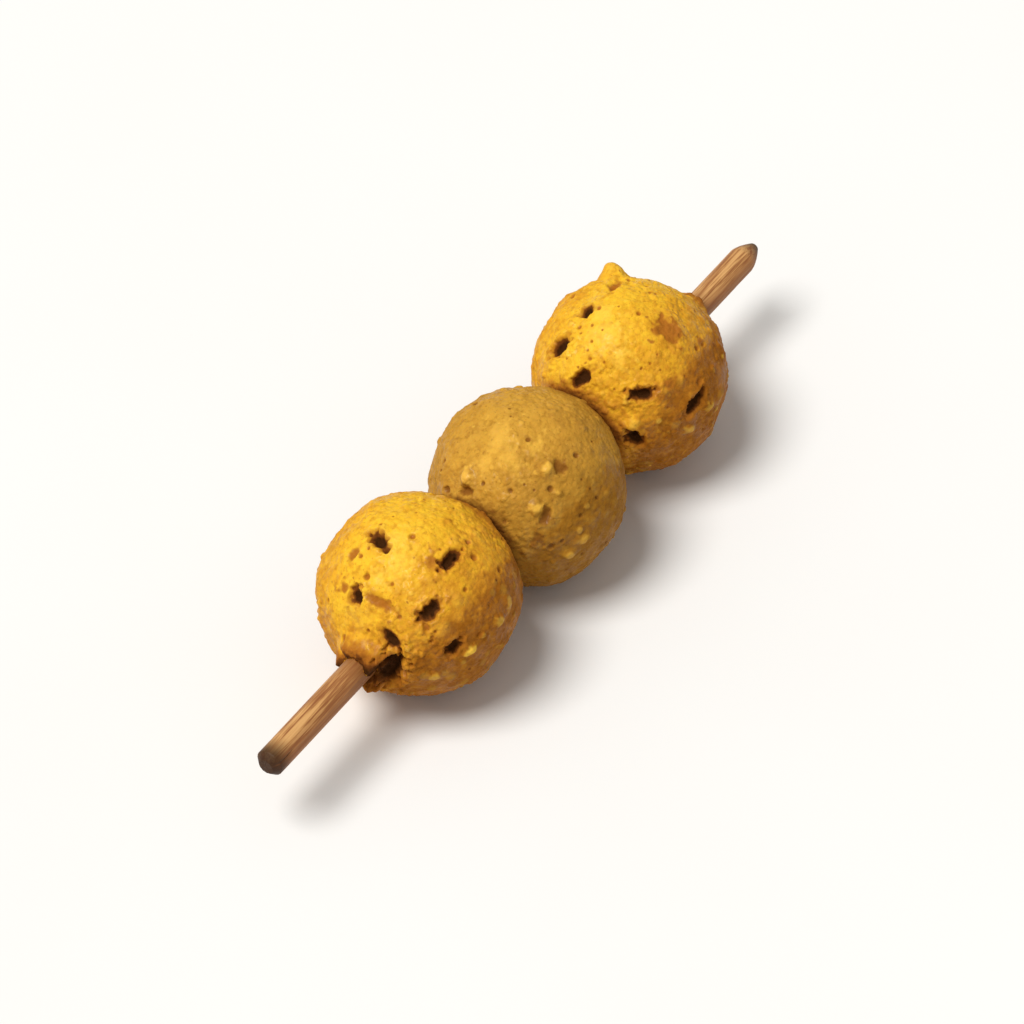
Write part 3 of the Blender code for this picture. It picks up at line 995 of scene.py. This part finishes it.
def skinToneAndPaintedLight(start, place, ball, crest):
    # painted shade darkens the side away from the lamp and a second side at the back underneath, a
    # painted highlight lightens the top that faces the lamp, and blotches and flecks ride on that
    radius = ball["radius"]
    blotches = grainAt(place, *finish["blotches"]) - 0.5
    flecks = grainAt(place, *finish["flecks"]) - 0.5
    near = facing(start, ball["paintedShadeSide"], radius) - ball["paintedShadeShift"]
    far = facing(start, finish["farSide"], radius) - finish["farSideShift"]
    depth = near.maths("MAXIMUM", near, far) + blotches * finish["paintedShadeBlotches"]
    fromHighlight = 1 - facing(start, finish["paintedHighlightSide"], radius) + blotches * finish["paintedHighlightBlotches"]
    offHighlight = rise(depth, *finish["paintedHighlightFade"])
    offHighlight = offHighlight.maths("MAXIMUM", offHighlight, rise(fromHighlight, *finish["paintedHighlightEdge"]))
    tone = offHighlight * finish["paintedHighlightShare"] + rise(depth, *finish["paintedShadeEdge"]) * finish["paintedShadeShare"]
    tone = tone + flecks * finish["fleckShare"]
    return tone + crest * grainAt(place, *finish["toasting"]) * finish["toastedCrests"]


def skinColour(tone, place, colours, masks, cells):
    colour = tone.node("ValToRGB", {"stops": colours["tones"]}, {0: tone})
    for grain, edge, strength, name in finish["freckles"]:
        colour = tint(rise(grainAt(place, *grain), *edge) * strength, colour, colours[name])
    # painted shade in the creases between the skin's small bubbles
    least, more = finish["paintedCreaseShade"]
    bubbly = rise(grainAt(place, *finish["bubbly"]), *finish["bubblyEdge"])
    crease = rise(cells, *finish["paintedCreaseEdge"]) * (least + bubbly * more)
    colour = tint(crease, colour, colours["crease"])
    frayed = finish["solid"]
    for grain, share in finish["fraying"]:
        frayed = frayed + grainAt(place, *grain) * share
    for mask, edge, strength, name in finish["paints"]:
        colour = tint(rise(masks[mask] * frayed, *edge) * strength, colour, colours[name])
    return colour


def crustMaterial(name, colours, ball):
    material, shader, start = newMaterial(name)
    place = shifted(start, ball["textureShift"])
    masks = {mask: painted(start, mask) for mask in ("char", "brown", "pale", "crest")}
    loose = strayed(place, *finish["cellStray"])  # the skin's small bubbles, with creases between them
    cells, fineCells = (cellsAt(loose, finish[size]) for size in ("cellSize", "fineCellSize"))
    tone = skinToneAndPaintedLight(start, place, ball, masks["crest"])

    oil = rise(grainAt(place, *finish["oilPatches"]), *finish["oilEdge"])
    dry = rise(masks["char"] + masks["brown"] * finish["brownDryness"], *finish["burntEdge"])
    relief = 1 - rise(cells, *finish["cellRound"]) + (1 - fineCells) * finish["fineBump"]
    relief = relief + grainAt(place, *finish["fineGrain"]) * finish["fineBump"]
    bumpValues = {"Height": relief, "Strength": finish["bumpStrength"], "Distance": finish["bumpDepth"]}
    connect(
        shader,
        {
            "Base Color": skinColour(tone, place, colours, masks, cells),
            "Roughness": finish["roughness"] + (1 - oil) * finish["unoiled"] + dry * finish["burnt"],
            "Coat Weight": oil * (1 - dry) * finish["oil"],
            "Normal": relief.node("Bump", values=bumpValues),
        },
    )
    setValues(
        shader,
        {
            "Coat Roughness": finish["oilRoughness"],
            "Subsurface Weight": finish["glow"],
            "Subsurface Radius": finish["glowDepth"],
            "Subsurface Scale": finish["glowScale"],
            "Specular IOR Level": finish["gloss"],
        },
    )
    return material


buildBall(gripBall, crustMaterial("goldenCrustGrip", goldenCrust, gripBall))
buildBall(middleBall, crustMaterial("tanCrust", tanCrust, middleBall))
buildBall(tipBall, crustMaterial("goldenCrustTip", goldenCrust, tipBall))

# The bamboo stick
stick = {
    "sides": 176,
    "step": 0.40 * mm,
    "endStep": 0.12 * mm,
    "endRings": (0.03, 0.2, 0.4, 0.6, 0.8, 0.93),  # across the sawn end, as shares of its radius
    "gripChamfer": 0.9 * mm,
    "chamferRings": 9,
    "tipTaper": 3.4 * mm,
    "tipCurve": 1.5,
    "tipBluntRadius": 0.7 * mm,
    "tipRings": (0.7, 0.35, 0.05),
    "fibreDepth": 0.050 * mm,
    "fibreWidth": 0.30 * mm,
    "fibreLength": 32 * mm,
    "finerFibres": (2.2, 1.9, 1.9),
    "fibreShares": (0.7, 0.45, 0.25),
    "fibreStarts": (4.4, 9.1),  # where in the noise the coarse and the fine fibres start
    "outOfRound": 0.012,
    "outOfRoundTurn": 40 * mm,
    "shrinking": 0.006,  # keeps the uneven outline inside the straight one
    # an open split is (mm from the grip end, mm long, degrees round)
    "splits": [(0, 9, 62), (4, 16, 205), (0, 5, 300), (93, 12, 28), (101, 18, 250)],
    "splitDepth": 0.16 * mm,
    "splitWidth": 0.11 * mm,
    "splitOpens": (-0.02, 0.15),  # along a split, where it starts and is fully open
    "splitCloses": (0.55, 1.0),
    "splitSharpness": 2,
    "splitWander": [(0.05, 3.1 * mm), (0.025, 1.1 * mm)],
    "tearing": 0.10 * mm,  # the saw leaves the fibres' ends uneven
    "tearingSize": 0.22 * mm,
    "tearingStart": 2.2,
    "tearingReach": 0.2 * mm,
    "cutEndEdge": (0.0, 1.05),
}


def stickProfile():
    # (x, radius) from the middle of the sawn end, out and along to the tip
    low, high, blunt = stickLow.x, stickHigh.x, stickRadius - stick["gripChamfer"]
    for share in stick["endRings"]:
        yield low, blunt * share
    for t in np.linspace(0, 1, stick["chamferRings"]):
        yield low + stick["gripChamfer"] * t, blunt + stick["gripChamfer"] * t
    startOfTip = high - stick["tipTaper"]
    first = low + stick["gripChamfer"] + stick["endStep"]
    for x in np.linspace(first, startOfTip, round((startOfTip - first) / stick["step"])):
        yield x, stickRadius
    tapering = stickRadius - stick["tipBluntRadius"]
    count = round(stick["tipTaper"] / stick["endStep"])
    for t in np.linspace(0, 1, count)[1:]:
        radius = stick["tipBluntRadius"] + tapering * (1 - t ** stick["tipCurve"])
        yield startOfTip + stick["tipTaper"] * t, radius
    for share in stick["tipRings"]:
        yield high, stick["tipBluntRadius"] * share


def stickRelief(x, radius, turn):
    # fibres, an outline that isn't quite round, and open splits along the grain
    ring = np.stack([x / stick["fibreLength"], np.cos(turn) * radius, np.sin(turn) * radius], axis=1)
    ring[:, 1:] /= stick["fibreWidth"]
    coarseStart, fineStart = stick["fibreStarts"]
    fibres = noiseOver(ring, 1.0, coarseStart)
    finer = noiseOver(ring * stick["finerFibres"], 1.0, fineStart)
    coarse, fine, lower = stick["fibreShares"]
    relief = stick["fibreDepth"] * (fibres * coarse + finer * fine - lower)
    relief += radius * stick["outOfRound"] * np.cos(2 * turn + x / stick["outOfRoundTurn"])
    relief -= radius * stick["shrinking"]
    split = np.zeros(len(x))
    for start, length, around in stick["splits"]:
        share = (x - stickLow.x - start * mm) / (length * mm)
        within = softStep(*stick["splitOpens"], share) * (1 - softStep(*stick["splitCloses"], share))
        wander = sum(reach * np.sin(x / size) for reach, size in stick["splitWander"])
        middle = math.radians(around) + wander
        off = (turn - middle + math.pi) % (2 * math.pi) - math.pi
        gape = fade(off * radius, stick["splitWidth"], stick["splitSharpness"])
        split = np.maximum(split, within * gape)
    relief -= stick["splitDepth"] * split
    return relief * np.clip(radius / stickRadius, 0, 1) ** 2, split


def stickSkin(rings):
    # every point of every ring, the faces between them, and masks for splits and the sawn end
    sides = stick["sides"]
    x = np.repeat([x for x, _ in rings], sides)
    radius = np.repeat([r for _, r in rings], sides)
    turn = np.tile(np.arange(sides) * 2 * math.pi / sides, len(rings))
    relief, split = stickRelief(x, radius, turn)
    place = np.stack([x, radius * np.cos(turn), radius * np.sin(turn)], axis=1)
    torn = np.abs(noiseOver(place, stick["tearingSize"], stick["tearingStart"])) * stick["tearing"]
    x = x + np.where(x < stickLow.x + stick["tearingReach"], torn, 0)
    points = np.stack([x, (radius + relief) * np.sin(turn), (radius + relief) * np.cos(turn)], axis=1)
    faces = []
    for ring in range(len(rings) - 1):
        here, there = ring * sides, (ring + 1) * sides
        for side in range(sides):
            after = (side + 1) % sides
            faces.append((here + side, here + after, there + after, there + side))
    faces.append(tuple(range(sides))[::-1])
    faces.append(tuple((len(rings) - 1) * sides + side for side in range(sides)))
    cutEnd = 1 - softStep(*stick["cutEndEdge"], (x - stickLow.x) / stick["gripChamfer"])
    return points, faces, {"split": split, "cutEnd": cutEnd}


def buildStick(material):
    points, faces, masks = stickSkin(list(stickProfile()))
    mesh = bpy.data.meshes.new("bamboo")
    mesh.from_pydata(points.tolist(), [], faces)
    for name, mask in masks.items():
        mesh.attributes.new(name, "FLOAT", "POINT").data.foreach_set("value", mask)
    shape = bmesh.new()
    shape.from_mesh(mesh)
    bmesh.ops.recalc_face_normals(shape, faces=shape.faces)
    shape.to_mesh(mesh)
    shape.free()
    mesh.shade_smooth()
    mesh.materials.append(material)
    piece = bpy.data.objects.new("bamboo_stick", mesh)
    bpy.context.scene.collection.objects.link(piece)
    piece.location = (0, stickMiddle.y, stickMiddle.z)
    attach(piece, "root")
    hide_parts("stick")
    print("stick built with", len(mesh.polygons), "faces")


bamboo = {
    "light": (0.66, 0.365, 0.135),
    "mid": (0.48, 0.230, 0.075),
    "dark": (0.27, 0.098, 0.032),
    "strand": (0.13, 0.045, 0.014),
    "fried": (0.34, 0.125, 0.042),
    "soaked": (0.24, 0.085, 0.022),
    "toasted": (0.036, 0.013, 0.004),
    "stretch": (0.045, 1.0, 1.0),  # the grain runs along the stick
    "streaks": (0.55, 3.0, 0.6),  # a grain is (size in mm, detail, roughness)
    "threads": (0.16, 2.0, 0.6),
    "drift": (14.0, 2.0),
    "toneShares": (0.6, 0.25, 0.15),
    "midEdge": (0.40, 0.55),
    "lightEdge": (0.47, 0.60),
    "paintedShadeSide": (0.0, -0.85, -0.52),  # painted shade on the side away from the lamp, as on the balls
    "paintedShadeEdge": (-0.15, 0.75),
    "paintedShadeStreaks": 1.2,
    "friedShare": 0.75,
    "strandSize": 0.46,
    "strandEdge": (0.12, 0.34),
    "cutEndShares": (0.35, 0.65),  # how dark the sawn end is, and how much darker on its strands
    "fingers": 9.0,  # mm by which the oil runs further along some strands than others
    "soakReach": 5.0,  # mm from a ball that the oil has crept along the stick
    "soakInside": 1.0,  # mm inside the ball's end, where the soaking is full
    "soakShare": 0.75,
    "tipToasting": (-3.4, 0.6),  # mm from the end, where the scorching starts and is full
    "gripToasting": (0.4, 4.6),
    "toastFingers": 0.35,
    "toastShare": 0.92,
    "splitShare": 0.85,
    "roughness": 0.52,
    "threadRoughness": 0.3,
    "oilySheen": 0.2,
    "bumpShares": (0.6, 0.4),
    "bumpStrength": 0.5,
    "bumpDepth": 0.06 * mm,
    "gloss": 0.2,
}


def bareBamboo(start, place, streaks, threads):
    streakShare, threadShare, driftShare = bamboo["toneShares"]
    drift = grainAt(place, *bamboo["drift"])
    tone = streaks * streakShare + threads * threadShare + drift * driftShare
    colour = tint(rise(tone, *bamboo["midEdge"]), bamboo["dark"], bamboo["mid"])
    colour = tint(rise(tone, *bamboo["lightEdge"]), colour, bamboo["light"])
    # painted shade: the side of the stick away from the lamp is tinted darker
    depth = facing(start, bamboo["paintedShadeSide"], stickRadius) + (streaks - 0.5) * bamboo["paintedShadeStreaks"]
    return tint(rise(depth, *bamboo["paintedShadeEdge"]) * bamboo["friedShare"], colour, bamboo["fried"])


def sawnStrands(start, place):
    # on the sawn end the strands of the bamboo show as dark dots
    across = place.node("VectorMath", {"operation": "MULTIPLY"}, {0: place, 1: (0.0, 1.0, 1.0)})
    dots = 1 - rise(cellsAt(across, bamboo["strandSize"]), *bamboo["strandEdge"])
    between, onStrands = bamboo["cutEndShares"]
    return painted(start, "cutEnd") * (between + dots * onStrands)


def oilSoaked(x, fingers):
    # oil has crept along the grain from the balls
    gripFace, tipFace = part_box("ball_grip")[0].x / mm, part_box("ball_tip")[1].x / mm
    reach = bamboo["soakReach"]
    inside = bamboo["soakInside"]
    soaked = rise(x + fingers, gripFace - reach, gripFace + inside)
    return soaked * (1 - rise(x + fingers, tipFace - inside, tipFace + reach))


def endsToasted(x, fingers):
    fingers = fingers * bamboo["toastFingers"]
    tip = rise(x + fingers, *(stickHigh.x / mm + reach for reach in bamboo["tipToasting"]))
    grip = 1 - rise(x - fingers, *(stickLow.x / mm + reach for reach in bamboo["gripToasting"]))
    return tip.maths("MAXIMUM", tip, grip) * bamboo["toastShare"]


def bambooMaterial():
    material, shader, start = newMaterial("bamboo")
    place = shifted(start, (0, 0, 0))
    x = place.node("SeparateXYZ", values={0: place}, output="X")
    along = place.node("VectorMath", {"operation": "MULTIPLY"}, {0: place, 1: bamboo["stretch"]})
    streaks, threads = grainAt(along, *bamboo["streaks"]), grainAt(along, *bamboo["threads"])
    fingers = (streaks - 0.5) * bamboo["fingers"]
    soaked = oilSoaked(x, fingers)

    colour = bareBamboo(start, place, streaks, threads)
    colour = tint(sawnStrands(start, place), colour, bamboo["strand"])
    colour = tint(soaked * bamboo["soakShare"], colour, bamboo["soaked"])
    colour = tint(endsToasted(x, fingers), colour, bamboo["toasted"])
    colour = tint(painted(start, "split") * bamboo["splitShare"], colour, bamboo["strand"])

    streakHeight, threadHeight = bamboo["bumpShares"]
    height = streaks * streakHeight + threads * threadHeight
    bumpValues = {"Height": height, "Strength": bamboo["bumpStrength"], "Distance": bamboo["bumpDepth"]}
    roughness = bamboo["roughness"] + (threads - 0.5) * bamboo["threadRoughness"]
    connect(
        shader,
        {
            "Base Color": colour,
            "Roughness": roughness - soaked * bamboo["oilySheen"],
            "Normal": height.node("Bump", values=bumpValues),
        },
    )
    setValues(shader, {"Specular IOR Level": bamboo["gloss"]})
    return material


buildStick(bambooMaterial())
